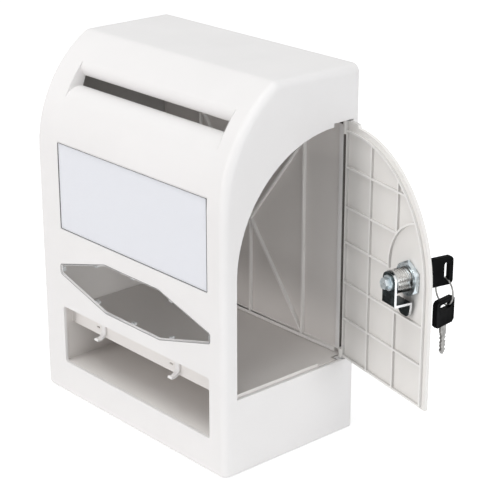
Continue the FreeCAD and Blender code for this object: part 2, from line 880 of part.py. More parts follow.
def leaf_ribs():
    """Rim, uprights, rails and the ring around the lock, on the inside of the leaf."""
    x0 = leaf_inner - leaf_rib_height
    x1 = leaf_inner
    w = leaf_rib_width
    area = sweep_x(leaf_outline(rim_inset, rim_bottom_inset, rim_hinge_offset), x0, x1)
    rim = area.cut(sweep_x(leaf_outline(rim_inset + w, rim_bottom_inset + w, rim_hinge_offset + w), x0, x1))
    front = opening_front_y
    bars = []
    for share in leaf_upright_shares:
        y = hinge_y - leaf_width * share
        bars.append(box(x0, x1, y - w / 2, y + w / 2, leaf_bottom, leaf_top))
    rails = [leaf_bottom + leaf_height * share for share in leaf_rail_shares]
    for z in rails:
        bars.append(box(x0, x1, front, hinge_y, z - w / 2, z + w / 2))
    ring_y = lock_y - leaf_ring_shift
    ring_z = lock_z + leaf_ring_rise
    ring_low = rails[2] - w / 2
    clear_low = rails[1] + w / 2
    ring_out = rod_x(leaf_ring_radius, x0, x1, ring_y, ring_z)
    above = box(x0, x1, ring_y - case_depth, hinge_y, ring_low, leaf_top)
    lock_side = ring_y + leaf_ring_radius
    clear = ring_out.common(above).fuse(box(x0, x1, front, lock_side, clear_low, ring_low))
    grid = bars[0].multiFuse(bars[1:]).common(area).cut(clear)
    ring = ring_out.cut(rod_x(leaf_ring_radius - w, x0, x1, ring_y, ring_z)).common(above).common(area)
    nut_room = rod_x(nut_flats / math.sqrt(3) + rib_nut_gap, x0, x1, lock_y, lock_z)
    return [rib.cut(nut_room) for rib in (rim, grid, ring)]


def double_d(x0, x1, gap):
    flat = lock_body_flat + gap
    radius = lock_body_radius + gap
    return rod_x(radius, x0, x1, lock_y, lock_z).common(
        box(x0, x1, lock_y - flat, lock_y + flat, lock_z - radius, lock_z + radius))


def make_door_panel():
    leaf = sweep_x(leaf_outline(0, 0, -leaf_tail), leaf_inner, half_width)
    # A raised corner fills the notch above the hinge.
    corner_top = opening_top + hinge_notch_rise - door_gap
    corner_front = hinge_y - hinge_notch_run + door_gap
    corner = box(leaf_inner, half_width, corner_front, hinge_y + leaf_tail,
                 leaf_top - leaf_thickness, corner_top)
    spans = [(leaf_bottom, leaf_bottom + barrel_length), (leaf_top - barrel_length, corner_top)]
    barrels = [rod(barrel_radius, V(hinge_x, hinge_y, a), V(hinge_x, hinge_y, b)) for a, b in spans]
    leaf = join(leaf, [corner] + barrels + leaf_ribs())
    hole = double_d(leaf_inner - overrun, half_width + overrun, lock_hole_gap)
    radius = pin_radius + pin_clearance / 2
    reach = pin_reach_leaf + pin_end_room
    low = rod(radius, V(hinge_x, hinge_y, leaf_bottom - overrun), V(hinge_x, hinge_y, leaf_bottom + reach))
    high = rod(radius, V(hinge_x, hinge_y, leaf_top - reach), V(hinge_x, hinge_y, leaf_top + overrun))
    return cut(leaf, [hole, low, high])


def make_hinge_pin(inner_z, outer_z):
    return rod(pin_radius, V(hinge_x, hinge_y, inner_z), V(hinge_x, hinge_y, outer_z))


# Lock

def wedge(x0, x1, radius, start_deg, end_deg):
    """Sector of a disc around the lock's axis, angles counted from +Y towards +Z."""
    centre = V(0, lock_y, lock_z)
    edges = [line(centre, polar(centre, radius, start_deg)), arc(centre, radius, start_deg, end_deg),
             line(polar(centre, radius, end_deg), centre)]
    return sweep_x(edges, x0, x1)


def make_lock_housing():
    flange = rod_x(lock_flange_radius, half_width, flange_face, lock_y, lock_z)
    rim = [e for e in flange.Edges if lies_at(e, "x", flange_face)]
    flange = flange.makeFillet(lock_flange_round, rim)
    body = double_d(body_end, half_width, 0)
    body = join(flange, [body])
    lug_sweep = 360 - lock_turn_deg - stop_tab_deg - 2 * stop_spare_deg
    # The tab points down at rest and turns to the front, so the gap runs from down to front.
    gap_end = stop_rest_deg + stop_tab_deg / 2 + stop_spare_deg
    lug = wedge(stop_back, body_end + stack_gap, lock_body_radius, gap_end, gap_end + lug_sweep)
    lug = lug.cut(rod_x(stop_lug_inner_radius, stop_back - overrun, half_width, lock_y, lock_z))
    flats = box(stop_back, half_width, lock_y - lock_body_flat, lock_y + lock_body_flat,
                lock_z - lock_body_radius, lock_z + lock_body_radius)
    body = join(body, [lug.common(flats)])
    bore = rod_x(plug_radius + lock_bore_clearance, body_end - overrun, flange_face + overrun, lock_y, lock_z)
    seat = rod_x(plug_head_radius + lock_bore_clearance, plug_head_back - plug_head_room,
                 flange_face + overrun, lock_y, lock_z)
    return cut(body, [bore, seat])


def make_lock_tooth_washer():
    x0 = leaf_inner - tooth_washer_thickness
    washer = rod_x(tooth_washer_radius, x0, leaf_inner, lock_y, lock_z)
    centre = V(0, lock_y, lock_z)
    pitch_deg = 360 / tooth_count
    inner = tooth_washer_radius - tooth_depth
    cuts = []
    for i in range(tooth_count):
        middle = i * pitch_deg
        wide = pitch_deg * tooth_gap_share
        narrow = pitch_deg * tooth_root_share
        points = [polar(centre, tooth_washer_radius + tooth_depth, middle - wide),
                  polar(centre, tooth_washer_radius + tooth_depth, middle + wide),
                  polar(centre, inner, middle + narrow),
                  polar(centre, inner, middle - narrow)]
        cuts.append(sweep_x(loop(points), x0 - overrun, leaf_inner + overrun))
    cuts.append(rod_x(lock_body_radius + thread_clearance, x0 - overrun, leaf_inner + overrun,
                      lock_y, lock_z))
    return cut(washer, cuts)


def make_lock_nut():
    seat = leaf_inner - tooth_washer_thickness
    end = seat - nut_thickness
    nut = hexagon_x(nut_flats, end, seat, lock_y, lock_z, nut_turn_deg)
    corner_radius = nut_flats / math.sqrt(3)
    # A cone trims the corners on the side that shows.
    apex_rise = corner_radius - nut_flats / 2
    cone = Part.makeCone(nut_flats / 2, corner_radius + overrun, apex_rise + overrun,
                         V(end - nut_chamfer + apex_rise / 2, lock_y, lock_z), V(1, 0, 0))
    nut = nut.common(cone)
    return nut.cut(rod_x(lock_body_radius + thread_clearance, end - overrun, seat + overrun, lock_y, lock_z))


def wafer_positions():
    return [blade_end + wafer_first + i * wafer_pitch for i in range(wafer_count)]


def make_lock_plug():
    body = rod_x(plug_radius, body_end, plug_head_back + plug_head_room, lock_y, lock_z)
    head = rod_x(plug_head_radius, plug_head_back, plug_head_back + plug_head_thickness, lock_y, lock_z)
    half_square = plug_square / 2
    square = box(plug_end, body_end + overrun, lock_y - half_square, lock_y + half_square,
                 lock_z - half_square, lock_z + half_square)
    plug = join(body, [head, square])
    half_thin = blade_thickness / 2 + keyway_gap
    half_wide = blade_width / 2 + keyway_gap
    cuts = [
        box(blade_end - keyway_room, flange_face + overrun, lock_y - half_thin, lock_y + half_thin,
            lock_z - half_wide, lock_z + half_wide),
        rod_x(cam_bolt_radius + cam_bolt_clearance, plug_end - overrun,
              bolt_seat + cam_bolt_reach + stack_gap, lock_y, lock_z),
    ]
    half_slot = wafer_width / 2 + wafer_gap
    chamber = spring_radius + spring_gap
    half_spring = spring_length / 2 + spring_gap
    for x in wafer_positions():
        cuts.append(box(x - wafer_gap, x + wafer_thickness + wafer_gap,
                        lock_y - half_slot, lock_y + half_slot,
                        lock_z - plug_head_radius, lock_z + plug_head_radius))
        middle = x + wafer_thickness / 2
        cuts.append(rod(chamber, V(middle, lock_y + spring_offset, lock_z - half_spring),
                        V(middle, lock_y + spring_offset, lock_z + half_spring)))
    return cut(plug, cuts)


def make_lock_wafers():
    half_wide = wafer_width / 2
    half_tall = wafer_height / 2
    half_thin = blade_thickness / 2 + keyway_gap
    half_key = blade_width / 2 + keyway_gap
    wafers = []
    for x in wafer_positions():
        end = x + wafer_thickness
        wafer = box(x, end, lock_y - half_wide, lock_y + half_wide, lock_z - half_tall, lock_z + half_tall)
        wafers.append(wafer.cut(box(x - overrun, end + overrun, lock_y - half_thin, lock_y + half_thin,
                                    lock_z - half_key, lock_z + half_key)))
    return wafers


def make_wafer_springs():
    springs = []
    half_long = spring_length / 2
    y = lock_y + spring_offset
    for x in wafer_positions():
        middle = x + wafer_thickness / 2
        outer = rod(spring_radius, V(middle, y, lock_z - half_long), V(middle, y, lock_z + half_long))
        springs.append(outer.cut(rod(spring_radius - spring_wire, V(middle, y, lock_z - spring_length),
                                     V(middle, y, lock_z + spring_length))))
    return springs


def square_hole(x0, x1):
    half_hole = plug_square / 2 + cam_square_gap
    return box(x0, x1, lock_y - half_hole, lock_y + half_hole, lock_z - half_hole, lock_z + half_hole)


def make_stop_washer():
    disc = rod_x(stop_radius, stop_back, stop_face, lock_y, lock_z)
    half_tab = stop_tab_deg / 2
    tab = wedge(stop_back, stop_face, stop_tab_radius, stop_rest_deg - half_tab, stop_rest_deg + half_tab)
    limit = box(stop_back, stop_face, lock_y - case_depth, lock_y + case_depth,
                lock_z - lock_body_flat, lock_z + lock_body_flat)
    return join(disc, [tab.common(limit)]).cut(square_hole(stop_back - overrun, stop_face + overrun))


def make_lock_cam():
    """Plate on the plug, a shelf towards the leaf and a tapered foot that grips behind the case's edge."""
    half_wide = cam_width / 2
    top = lock_z + cam_top
    turn = lock_z - cam_drop
    foot_in = leaf_inner - cam_foot_face - cam_thickness
    foot_out = leaf_inner - cam_foot_face
    plate = box(cam_back, cam_face, lock_y - half_wide, lock_y + half_wide, turn, top)
    rounds = [e for e in plate.Edges if lies_at(e, "z", top) and e.BoundBox.XLength > cam_thickness / 2]
    plate = plate.makeFillet(cam_corner_radius, rounds)
    shelf = box(cam_back, foot_out, lock_y - half_wide, lock_y + half_wide, turn, turn + cam_thickness)
    half_tip = cam_foot_tip_width / 2
    foot_end = lock_z - cam_foot_end
    corners = [V(0, lock_y - half_wide, turn + cam_thickness), V(0, lock_y + half_wide, turn + cam_thickness),
               V(0, lock_y + half_wide, turn - cam_thickness), V(0, lock_y + half_tip, foot_end),
               V(0, lock_y - half_tip, foot_end), V(0, lock_y - half_wide, turn - cam_thickness)]
    foot = sweep_x(loop(corners), foot_in, foot_out)
    tips = [e for e in foot.Edges if lies_at(e, "z", foot_end) and e.BoundBox.XLength > cam_thickness / 2]
    foot = foot.makeFillet(cam_foot_round, tips)
    cam = join(plate, [shelf, foot])
    bends = [e for e in cam.Edges if lies_at(e, "z", turn) and lies_at(e, "x", cam_back)]
    bends += [e for e in cam.Edges if lies_at(e, "z", turn + cam_thickness) and lies_at(e, "x", foot_out)]
    cam = cam.makeFillet(cam_bend_radius, bends)
    return cam.cut(square_hole(cam_back - overrun, cam_face + overrun))


def make_cam_washer():
    washer = rod_x(cam_washer_radius, bolt_seat, cam_back, lock_y, lock_z)
    return washer.cut(rod_x(cam_bolt_radius + cam_bolt_clearance, bolt_seat - overrun, cam_back + overrun,
                            lock_y, lock_z))


def make_cam_bolt():
    head = hexagon_x(cam_bolt_flats, bolt_seat - cam_bolt_head, bolt_seat, lock_y, lock_z, 0)
    shank = rod_x(cam_bolt_radius, bolt_seat - cam_bolt_head / 2, bolt_seat + cam_bolt_reach, lock_y, lock_z)
    return join(head, [shank])


# Keys, drawn along +X with the head outside

def key_blade_shape():
    half_wide = blade_width / 2
    half_thin = blade_thickness / 2
    tang_end = head_start + blade_tang
    shoulder = blade_end + blade_tip
    tip_half = blade_tip_width / 2
    step = head_start - blade_step_run
    far_edge = half_wide - blade_step
    points = [(blade_end, -tip_half), (shoulder, -half_wide), (tang_end, -half_wide), (tang_end, half_wide),
              (step, half_wide), (step, far_edge), (shoulder, far_edge), (blade_end, tip_half)]
    corners = [V(x, lock_y - half_thin, lock_z + z) for x, z in points]
    blade = sweep(loop(corners), V(0, blade_thickness, 0))
    bitted = head_start - shoulder
    for side, reach, depths in ((-1, half_wide, near_bit_depths), (1, far_edge, far_bit_depths)):
        for share, depth in zip(bit_shares, depths):
            x = shoulder + bitted * share
            edge = lock_z + side * reach
            tip = [V(x - bit_half_width, lock_y - blade_width, edge + side * overrun / 2),
                   V(x + bit_half_width, lock_y - blade_width, edge + side * overrun / 2),
                   V(x + bit_half_width, lock_y - blade_width, edge),
                   V(x + bit_floor_half_width, lock_y - blade_width, edge - side * depth),
                   V(x - bit_floor_half_width, lock_y - blade_width, edge - side * depth),
                   V(x - bit_half_width, lock_y - blade_width, edge)]
            blade = blade.cut(sweep(loop(tip), V(0, 2 * blade_width, 0)))
    return blade


def key_head_shape():
    half_wide = head_width / 2
    half_thick = head_thickness / 2
    head = box(head_start, head_end, lock_y - half_thick, lock_y + half_thick,
               lock_z - half_wide, lock_z + half_wide)
    outer = [e for e in head.Edges if lies_at(e, "x", head_end) and e.BoundBox.YLength > half_thick]
    head = head.makeFillet(head_round, outer)
    inner = [e for e in head.Edges if lies_at(e, "x", head_start) and e.BoundBox.YLength > half_thick]
    head = head.makeChamfer(head_chamfer, inner)
    sides = (lock_y - half_thick, lock_y + half_thick)
    faces = [e for e in head.Edges if any(lies_at(e, "y", y) for y in sides)]
    head = head.makeFillet(head_edge_round, faces)
    half_slot = head_slot_width / 2
    half_long = head_slot_length / 2 - half_slot
    y0 = lock_y - head_thickness
    y1 = lock_y + head_thickness
    half_tang = blade_width / 2 + tang_gap
    half_thin = blade_thickness / 2 + tang_gap
    cuts = [
        box(head_slot_x - half_slot, head_slot_x + half_slot, y0, y1, lock_z - half_long, lock_z + half_long),
        rod(half_slot, V(head_slot_x, y0, lock_z - half_long), V(head_slot_x, y1, lock_z - half_long)),
        rod(half_slot, V(head_slot_x, y0, lock_z + half_long), V(head_slot_x, y1, lock_z + half_long)),
        box(head_start - overrun, head_start + blade_tang + tang_gap, lock_y - half_thin, lock_y + half_thin,
            lock_z - half_tang, lock_z + half_tang),
    ]
    return cut(head, cuts)


def make_key_ring():
    return Part.makeTorus(ring_radius, ring_wire, V(head_slot_x, lock_y, ring_middle_z), V(1, 0, 0))


def hang(shape):
    """Moves a key from the lock to the bottom of the ring, blade down."""
    hung = shape.copy()
    pivot = V(head_slot_x, lock_y, lock_z)
    hung.rotate(pivot, V(0, 1, 0), -90)
    hung.translate(V(0, 0, spare_slot_z - lock_z))
    hung.rotate(V(head_slot_x, lock_y, 0), V(0, 0, 1), spare_yaw_deg)
    return hung


os.makedirs("parts", exist_ok=True)

save(make_case_shell(), "case_shell")
save(make_back_panel(), "back_panel")
save_group(make_back_panel_screws(), "back_panel_screws")
save(make_tray_insert(), "tray_insert")
save_group(make_tray_screws(), "tray_screws")
clip_left_x, clip_right_x = clip_spots()
save(make_pen_clip(clip_left_x), "pen_clip_left")
save(make_pen_clip(clip_right_x), "pen_clip_right")
save(make_label_card(), "label_card")
save(make_label_cover(), "label_cover")
save(make_window_pane(), "window_pane")

notch_top = opening_top + hinge_notch_rise
save(swing_open(make_door_panel()), "door_panel")
pin_top = make_hinge_pin(leaf_top - pin_reach_leaf, notch_top + pin_reach_boss)
pin_bottom = make_hinge_pin(door_bottom - pin_reach_boss, leaf_bottom + pin_reach_leaf)
save(swing_open(pin_top), "hinge_pin_top")
save(swing_open(pin_bottom), "hinge_pin_bottom")
save(swing_open(make_lock_housing()), "lock_housing")
save(swing_open(make_lock_tooth_washer()), "lock_tooth_washer")
save(swing_open(make_lock_nut()), "lock_nut")
save(swing_open(make_lock_plug()), "lock_plug")
save_group([swing_open(s) for s in make_lock_wafers()], "lock_wafers")
save_group([swing_open(s) for s in make_wafer_springs()], "wafer_springs")
save(swing_open(make_stop_washer()), "stop_washer")
save(swing_open(make_lock_cam()), "lock_cam")
save(swing_open(make_cam_washer()), "cam_washer")
save(swing_open(make_cam_bolt()), "cam_bolt")
save(swing_open(key_blade_shape()), "key_blade")
save(swing_open(key_head_shape()), "key_head")
save(swing_open(make_key_ring()), "key_ring")
save(swing_open(hang(key_blade_shape())), "spare_key_blade")
save(swing_open(hang(key_head_shape())), "spare_key_head")
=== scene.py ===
# %% [markdown]
# This lesson dresses a ballot box that was first drawn as solids. The solids give every piece its size, its
# place and its joint, so here we only look after what the eye sees: soft edges, threads, wound wire,
# finishes and light. Loading comes first, and the outer box of the solids is measured and printed.

# %% Load the solids
import json
import math
import bmesh
import bpy
from mathutils import Matrix, Vector


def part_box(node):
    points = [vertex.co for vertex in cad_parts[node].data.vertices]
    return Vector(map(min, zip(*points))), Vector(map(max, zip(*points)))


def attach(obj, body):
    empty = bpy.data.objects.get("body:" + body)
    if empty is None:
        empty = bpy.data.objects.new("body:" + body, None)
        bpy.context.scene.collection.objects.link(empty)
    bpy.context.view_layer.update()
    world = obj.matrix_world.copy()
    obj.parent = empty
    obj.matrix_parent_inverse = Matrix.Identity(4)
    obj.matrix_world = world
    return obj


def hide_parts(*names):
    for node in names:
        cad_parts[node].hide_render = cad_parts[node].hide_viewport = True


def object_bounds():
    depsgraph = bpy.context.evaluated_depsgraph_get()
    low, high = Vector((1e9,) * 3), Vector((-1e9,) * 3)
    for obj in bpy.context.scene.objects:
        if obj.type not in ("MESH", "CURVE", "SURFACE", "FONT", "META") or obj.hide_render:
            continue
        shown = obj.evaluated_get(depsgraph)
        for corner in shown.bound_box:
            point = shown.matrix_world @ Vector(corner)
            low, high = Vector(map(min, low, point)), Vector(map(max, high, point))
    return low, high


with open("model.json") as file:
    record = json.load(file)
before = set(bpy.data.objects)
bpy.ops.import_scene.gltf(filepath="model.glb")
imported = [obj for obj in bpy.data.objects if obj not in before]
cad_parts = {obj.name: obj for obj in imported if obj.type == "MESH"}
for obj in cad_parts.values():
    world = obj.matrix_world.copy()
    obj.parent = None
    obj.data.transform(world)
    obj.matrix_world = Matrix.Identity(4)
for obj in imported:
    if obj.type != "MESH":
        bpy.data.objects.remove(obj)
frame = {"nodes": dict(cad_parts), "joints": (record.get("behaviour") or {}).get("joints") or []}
solid_low, solid_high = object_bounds()
solids = frame["nodes"]
solid_size = [round(v * 1000, 1) for v in solid_high - solid_low]
print("solids loaded:", len(solids), "outer size in mm:", solid_size)

# %% [markdown]
# A picture taken from the same spot with the same lens is the only fair way to judge a likeness. The camera
# stands to the front right of the box, a little above it, with a long lens that keeps the upright edges
# nearly parallel.

# %% Place the camera
scene = bpy.context.scene
eye = Vector((0.96278, -0.78897, 0.61653))
aim = Vector((0.02567, 0.04197, 0.1401))
camera_data = bpy.data.cameras.new("camera")
camera_data.sensor_width = 36.0
camera_data.lens = 114.12
camera = bpy.data.objects.new("camera", camera_data)
camera.location = eye
camera.rotation_mode = "QUATERNION"
camera.rotation_quaternion = (aim - eye).to_track_quat("-Z", "Y")
scene.collection.objects.link(camera)
scene.camera = camera
scene.view_settings.view_transform = "Standard"
print("camera stands", round((aim - eye).length, 3), "m from its aim")

# %% [markdown]
# Every finish is built from the same few nodes, so small helpers come first. One adds a node, one a noise,
# and two bring a value into a wanted range. Noise rarely leaves the middle of its scale, so only that
# middle is spread out.

# %% Small helpers for finishes
noise_low = 0.3
noise_high = 0.7


def add_node(tree, kind, **settings):
    node = tree.nodes.new(kind)
    for name, value in settings.items():
        setattr(node, name, value)
    return node


def noise_at(tree, place, scale, detail):
    noise = add_node(tree, "ShaderNodeTexNoise")
    noise.inputs["Scale"].default_value = scale
    noise.inputs["Detail"].default_value = detail
    tree.links.new(place, noise.inputs["Vector"])
    return noise.outputs["Fac"]


def ranged(tree, value, from_low, from_high, to_low, to_high):
    node = add_node(tree, "ShaderNodeMapRange")
    node.inputs["From Min"].default_value = from_low
    node.inputs["From Max"].default_value = from_high
    node.inputs["To Min"].default_value = to_low
    node.inputs["To Max"].default_value = to_high
    tree.links.new(value, node.inputs["Value"])
    return node.outputs["Result"]


def spread(tree, value, low, high):
    return ranged(tree, value, noise_low, noise_high, low, high)


print("noise is spread from", noise_low, "to", noise_high)

# %% [markdown]
# A finish is three layers of noise on one shader. A broad one shifts the colour a little, a second one
# changes the gloss, and a fine one raises the surface. Mapping them by object coordinates keeps them still
# on the piece, whatever its joint does. One helper makes the three layers, so that each finish only names
# its own numbers.

# %% A layered finish
grain_strength = 0.6
tone_detail = 4
gloss_detail = 3
grain_detail = 2


def layered_finish(name, dark, light, tone_scale, gloss, gloss_scale, grain_scale, grain_height,
                   stretch=(1, 1, 1)):
    finish = bpy.data.materials.new(name)
    finish.use_nodes = True
    tree = finish.node_tree
    shader = tree.nodes["Principled BSDF"]
    coordinates = add_node(tree, "ShaderNodeTexCoord")
    mapping = add_node(tree, "ShaderNodeMapping")
    mapping.inputs["Scale"].default_value = stretch
    tree.links.new(coordinates.outputs["Object"], mapping.inputs["Vector"])
    place = mapping.outputs["Vector"]
    tones = add_node(tree, "ShaderNodeValToRGB")
    for stop, position, tone in zip(tones.color_ramp.elements, (noise_low, noise_high), (dark, light)):
        stop.position = position
        stop.color = (*tone, 1)
    tree.links.new(noise_at(tree, place, tone_scale, tone_detail), tones.inputs["Fac"])
    tree.links.new(tones.outputs["Color"], shader.inputs["Base Color"])
    clouds = noise_at(tree, place, gloss_scale, gloss_detail)
    tree.links.new(spread(tree, clouds, *gloss), shader.inputs["Roughness"])
    bump = add_node(tree, "ShaderNodeBump")
    bump.inputs["Strength"].default_value = grain_strength
    bump.inputs["Distance"].default_value = grain_height
    tree.links.new(noise_at(tree, place, grain_scale, grain_detail), bump.inputs["Height"])
    tree.links.new(bump.outputs["Normal"], shader.inputs["Normal"])
    return finish, shader


print("finish helper ready")

# %% [markdown]
# The box and its door are white plastic, moulded with a very fine spark-eroded grain. Such plastic is never
# one flat white: it is a touch warmer where it cooled slowly, and hands polish it. So the tone moves by two
# or three hundredths, the gloss by a little more, and the grain is a hundredth or two of a millimetre high.
# The insert and the back panel get the same plastic a little darker and warmer. The leaf of the door is
# warmer too. Small ribs and narrow gaps show lines of light and shade that a few soft lamps can't draw, so
# three
# more finishes paint them: a painted highlight for the tops of ribs, painted shade for their flanks and
# dark painted shade for the hinge's gap.

# %% White moulded plastic
mould_scales = {"tone_scale": 14, "gloss_scale": 30, "grain_scale": 1800}
mould_sheen = 0.35


def moulded_plastic(name, dark, light, gloss, grain_height):
    finish, shader = layered_finish(name, dark, light, gloss=gloss, grain_height=grain_height,
                                    **mould_scales)
    shader.inputs["Specular IOR Level"].default_value = mould_sheen
    print("finish:", name)
    return finish


white_plastic = moulded_plastic(
    "white_plastic", (0.795, 0.775, 0.767), (0.825, 0.804, 0.796), (0.42, 0.55), 0.00002)
inner_plastic = moulded_plastic(
    "inner_plastic", (0.765, 0.732, 0.706), (0.795, 0.762, 0.736), (0.48, 0.62), 0.00002)
door_plastic = moulded_plastic(
    "door_plastic", (0.805, 0.78, 0.752), (0.835, 0.81, 0.782), (0.42, 0.55), 0.00002)
# painted highlight: a brighter tone for the tops of ribs, standing in for the light they catch
rib_painted_highlight = moulded_plastic(
    "rib_painted_highlight", (0.87, 0.848, 0.825), (0.9, 0.878, 0.855), (0.4, 0.5), 0.00001)
# inside tone, with shade painted darker with height below
inside_painted_shade = moulded_plastic(
    "inside_painted_shade", (0.765, 0.732, 0.706), (0.795, 0.762, 0.736), (0.6, 0.75), 0.00003)
# painted shade: near-black for the hinge's gap and the notch above it
gap_painted_shade = moulded_plastic(
    "gap_painted_shade", (0.12, 0.11, 0.1), (0.16, 0.15, 0.14), (0.6, 0.75), 0.00003)
# painted shade: a darker tone for the flanks of ribs
flank_painted_shade = moulded_plastic(
    "flank_painted_shade", (0.57, 0.553, 0.535), (0.63, 0.613, 0.595), (0.55, 0.7), 0.00003)

# %% [markdown]
# Deep inside the box, the wall far from the door and the roof are rough and left unpolished, and they get
# less light the higher they are. A second set of lamps could be tuned for them, but would spill on the
# outside. So their shade is painted instead: the tone is scaled darker with height, which keeps the hue and
# the noise.

# %% Inside walls with shade painted darker with height
shade_from_height = 0.105
shade_to_height = 0.21
deepest_painted_shade = 0.43

tree = inside_painted_shade.node_tree
axes = add_node(tree, "ShaderNodeSeparateXYZ")
tree.links.new(add_node(tree, "ShaderNodeTexCoord").outputs["Object"], axes.inputs["Vector"])
# painted shade: full tone low down, scaled darker towards the roof
painted_shade_factor = ranged(tree, axes.outputs["Z"], shade_from_height, shade_to_height, 1.0, deepest_painted_shade)
painted_shade_tone = add_node(tree, "ShaderNodeVectorMath", operation="SCALE")
base_color = tree.nodes["Principled BSDF"].inputs["Base Color"]
tree.links.new(base_color.links[0].from_socket, painted_shade_tone.inputs["Vector"])
tree.links.new(painted_shade_factor, painted_shade_tone.inputs["Scale"])
tree.links.new(painted_shade_tone.outputs["Vector"], base_color)
print("inside walls get duller from", shade_from_height, "to", shade_to_height, "m")

# %% [markdown]
# The window and the sheet over the card are clear. A thin sheet hardly bends what is behind it, so a mix of
# plain see-through and a mirror that grows at flat angles is closer than thick glass, and lets light reach
# the card. Only faces seen from outside mirror: from within, a flat angle would mirror everything and turn
# the sheet dark. The snap tabs behind the window look milky, so the depth of a point decides how much white
# is mixed in.

# %% Clear sheet
milky_white = (0.93, 0.94, 0.95, 1)
milky_share = 0.9
mirror_blend = 0.12
wave_strength = 0.15
wave_height = 0.0002


def mixed(tree, share, first, second):
    mix = add_node(tree, "ShaderNodeMixShader")
    tree.links.new(share, mix.inputs["Fac"])
    tree.links.new(first, mix.inputs[1])
    tree.links.new(second, mix.inputs[2])
    return mix.outputs["Shader"]


def clear_sheet(name, tint, milky_from, milky_to):
    finish = bpy.data.materials.new(name)
    finish.use_nodes = True
    tree = finish.node_tree
    body = tree.nodes["Principled BSDF"]
    body.inputs["Base Color"].default_value = milky_white
    through = add_node(tree, "ShaderNodeBsdfTransparent")
    through.inputs["Color"].default_value = (*tint, 1)
    mirror = add_node(tree, "ShaderNodeBsdfGlossy")
    mirror.inputs["Color"].default_value = (1, 1, 1, 1)
    angle = add_node(tree, "ShaderNodeLayerWeight")
    angle.inputs["Blend"].default_value = mirror_blend
    geometry = add_node(tree, "ShaderNodeNewGeometry")
    from_outside = add_node(tree, "ShaderNodeMath", operation="SUBTRACT", use_clamp=True)
    tree.links.new(angle.outputs["Fresnel"], from_outside.inputs[0])
    tree.links.new(geometry.outputs["Backfacing"], from_outside.inputs[1])
    place = add_node(tree, "ShaderNodeTexCoord").outputs["Object"]
    smears = noise_at(tree, place, scale=25, detail=2)
    tree.links.new(spread(tree, smears, 0.03, 0.09), mirror.inputs["Roughness"])
    clouds = noise_at(tree, place, scale=60, detail=2)
    tree.links.new(spread(tree, clouds, 0.35, 0.5), body.inputs["Roughness"])
    bump = add_node(tree, "ShaderNodeBump")
    bump.inputs["Strength"].default_value = wave_strength
    bump.inputs["Distance"].default_value = wave_height
    tree.links.new(noise_at(tree, place, scale=9, detail=1), bump.inputs["Height"])
    tree.links.new(bump.outputs["Normal"], mirror.inputs["Normal"])
    sheet = mixed(tree, from_outside.outputs["Value"], through.outputs["BSDF"], mirror.outputs["BSDF"])
    axes = add_node(tree, "ShaderNodeSeparateXYZ")
    tree.links.new(place, axes.inputs["Vector"])
    milkiness = ranged(tree, axes.outputs["Y"], milky_from, milky_to, 0.0, milky_share)
    whole = mixed(tree, milkiness, sheet, body.outputs["BSDF"])
    tree.links.new(whole, tree.nodes["Material Output"].inputs["Surface"])
    return finish


pane_thickness = 0.0008
pane_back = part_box("window_pane")[0].y + pane_thickness
milky_start = 0.0001
milky_full = 0.0006
clear_pane = clear_sheet("clear_pane", (0.965, 0.965, 0.965),
                         pane_back + milky_start, pane_back + milky_full)
clear_room = 0.001
past_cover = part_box("label_cover")[1].y + clear_room
clear_film = clear_sheet("clear_film", (0.995, 0.995, 1), past_cover, past_cover + clear_room)
print("finishes:", clear_pane.name, clear_film.name)

# %% [markdown]
# Card is pressed from fibres, so its colour clouds over a millimetre or so, and its surface is rough at
# less than half of that. It is a little bluer than the plastic, as bright paper is. The sheet over it is
# clear from the front, and its narrow edges are painted dark: painted shade for the thin shadow line
# around the card.

# %% Card, and painted shade for the edges of the sheets
card_stock, card_shader = layered_finish(
    "card_stock", (0.78, 0.785, 0.81), (0.805, 0.81, 0.83), tone_scale=700, gloss=(0.75, 0.9),
    gloss_scale=400, grain_scale=2500, grain_height=0.00003, stretch=(1, 1, 3))
card_shader.inputs["Specular IOR Level"].default_value = 0.2
# painted shade: near-black for the shadow lines along the edges of the sheets
edge_painted_shade = layered_finish(
    "edge_painted_shade", (0.05, 0.05, 0.055), (0.09, 0.09, 0.095), tone_scale=300, gloss=(0.5, 0.7),
    gloss_scale=400, grain_scale=2500, grain_height=0.00002)[0]
print("finishes:", card_stock.name, edge_painted_shade.name)

# %% [markdown]
# Lock bodies are cast from zinc and nickel plated; nuts, washers and screws are steel with a thin bluish
# zinc coat. The cam's broad faces and the root of the barrel's thread are painted nearly black: painted
# dark reflection on the cam, painted shade in the thread's grooves. The cam's sheared edges get a bright
# metal as a painted highlight. Keys and ring are duller steel, and wafers are brass. Plating clouds a
# little, which the broad noise shows, and the gloss changes where fingers and tools have been. Squeezing
# the clouds in height turns them into faint level streaks on the zinc.

# %% Metals
streaks = (1, 1, 2)


def metal(name, dark, light, **layers):
    finish, shader = layered_finish(name, dark, light, **layers)
    shader.inputs["Metallic"].default_value = 1.0
    print("finish:", name)
    return finish


nickel_plate = metal("nickel_plate", (0.58, 0.58, 0.57), (0.70, 0.70, 0.69), tone_scale=160,
                     gloss=(0.22, 0.36), gloss_scale=220, grain_scale=3000, grain_height=0.00001)
zinc_plate = metal("zinc_plate", (0.5, 0.57, 0.61), (0.74, 0.79, 0.81), tone_scale=240,
                   gloss=(0.24, 0.4), gloss_scale=300, grain_scale=2600, grain_height=0.000015,
                   stretch=streaks)
# painted shade: near-black zinc for the thread's root, and painted dark reflection on the cam's broad faces
zinc_painted_shade = metal("zinc_painted_shade", (0.03, 0.04, 0.042), (0.075, 0.095, 0.1), tone_scale=180,
                  gloss=(0.18, 0.3), gloss_scale=300, grain_scale=2600, grain_height=0.00001,
                  stretch=streaks)
